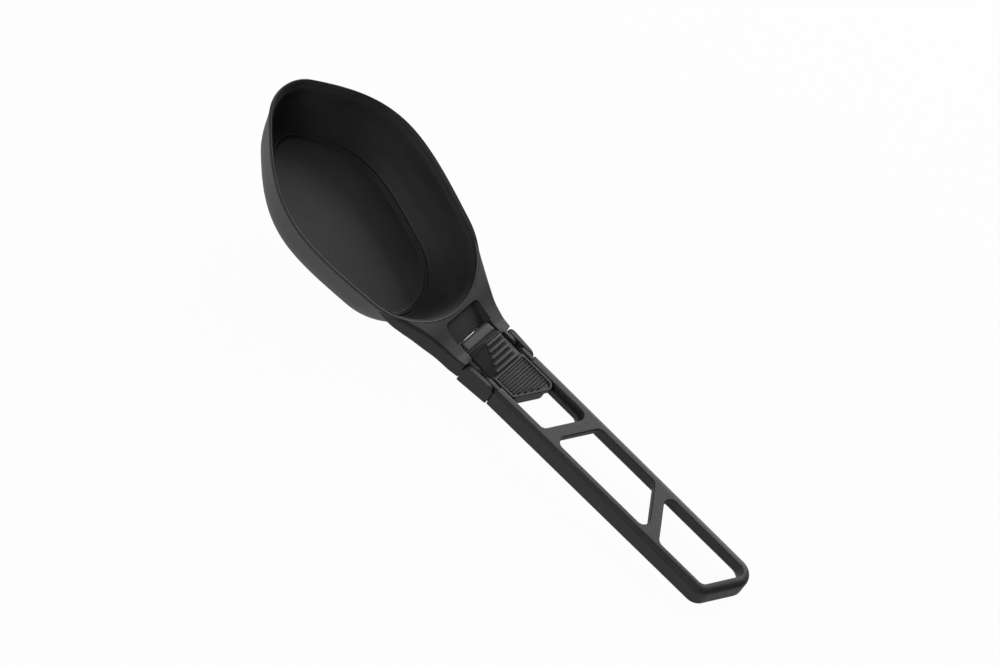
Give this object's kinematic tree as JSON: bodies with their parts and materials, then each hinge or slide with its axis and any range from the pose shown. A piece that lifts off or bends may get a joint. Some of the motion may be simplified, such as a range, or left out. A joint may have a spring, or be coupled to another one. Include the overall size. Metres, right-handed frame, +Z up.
{
  "type": "folding serving spoon",
  "caption": "Folding spoon with a deep ladle-like bowl, an open-frame handle, a two-pivot hinge and a ribbed lock slider, shown open.",
  "frame": {"origin": "middle of the underside of the bounding box of the open spoon, resting on the heel of the bowl and the handle's end", "axes": "+X from the bowl's tip towards the handle's end, +Z up out of the open bowl, +Y to the side"},
  "size_m": [0.2448, 0.0702, 0.0467],
  "materials": {
    "charcoal_nylon": "glass-filled nylon, finely textured with a slight sheen",
    "slider_nylon": "glass-filled nylon, slightly smoother",
    "pin_steel": "drawn steel pin"
  },
  "bodies": {
    "head": {"bowl_head": "charcoal_nylon"},
    "links": {"hinge_link_left": "charcoal_nylon", "hinge_link_right": "charcoal_nylon", "front_pin_left": "pin_steel", "front_pin_right": "pin_steel", "rear_pin_left": "pin_steel", "rear_pin_right": "pin_steel"},
    "handle": {"handle_frame": "charcoal_nylon"},
    "slider": {"lock_slider": "slider_nylon"}
  },
  "joints": [
    {"name": "link_fold", "type": "hinge", "parent": "head", "child": "links", "pos_m": [-0.00225, 0, 0.01222], "axis": [0, -1, 0], "range_deg": [0, 84]},
    {"name": "handle_fold", "type": "hinge", "parent": "links", "child": "handle", "pos_m": [0.00454, 0, 0.01189], "axis": [0, -1, 0], "range_deg": [0, 84]},
    {"name": "lock_slide", "type": "slide", "parent": "handle", "child": "slider", "axis": [0.9989, 0, -0.0479], "range_m": [0, 0.015]}
  ],
  "couplings": [
    {"joint": "handle_fold", "follows": "link_fold", "ratio": 1}
  ]
}
